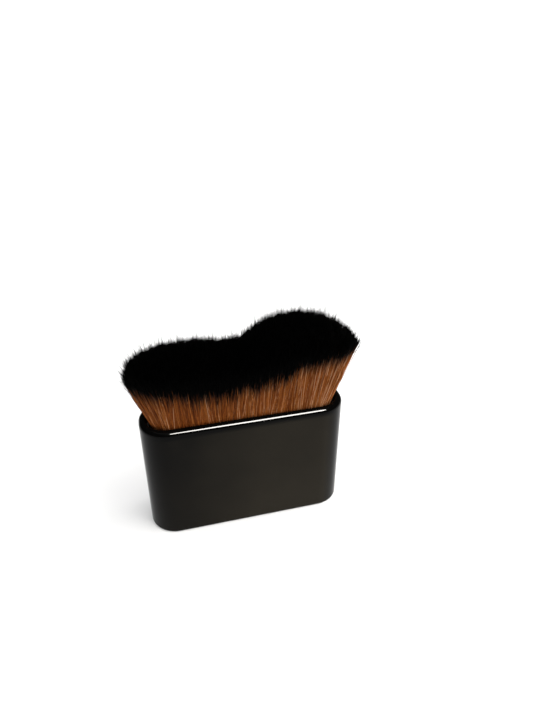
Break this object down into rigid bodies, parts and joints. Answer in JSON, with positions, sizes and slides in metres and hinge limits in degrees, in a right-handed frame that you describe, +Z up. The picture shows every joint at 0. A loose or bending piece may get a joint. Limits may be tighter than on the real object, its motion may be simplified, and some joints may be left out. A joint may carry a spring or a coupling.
{
  "type": "neck duster brush",
  "caption": "Flat palm-held neck duster brush that stands on its base: glossy black casing and a dense brown fibre head with a wavy black-tipped top",
  "frame": {"origin": "centre of the casing's flat base, on the surface it stands on", "axes": "+Z up out of the fibre head, +X along the casing's width towards the taller lobe of the head, -Y towards the front"},
  "size_m": [0.0809, 0.0276, 0.08],
  "materials": {
    "casing_plastic": "gloss",
    "cup_plastic": "matte",
    "glue": "semi-gloss",
    "brown_fibre": "satin",
    "black_fibre": "matte"
  },
  "bodies": {
    "brush": {"handle_casing": "casing_plastic", "bristle_cup": "cup_plastic", "potting_glue": "glue", "bristle_body": "brown_fibre", "bristle_tips": "black_fibre"}
  },
  "joints": []
}
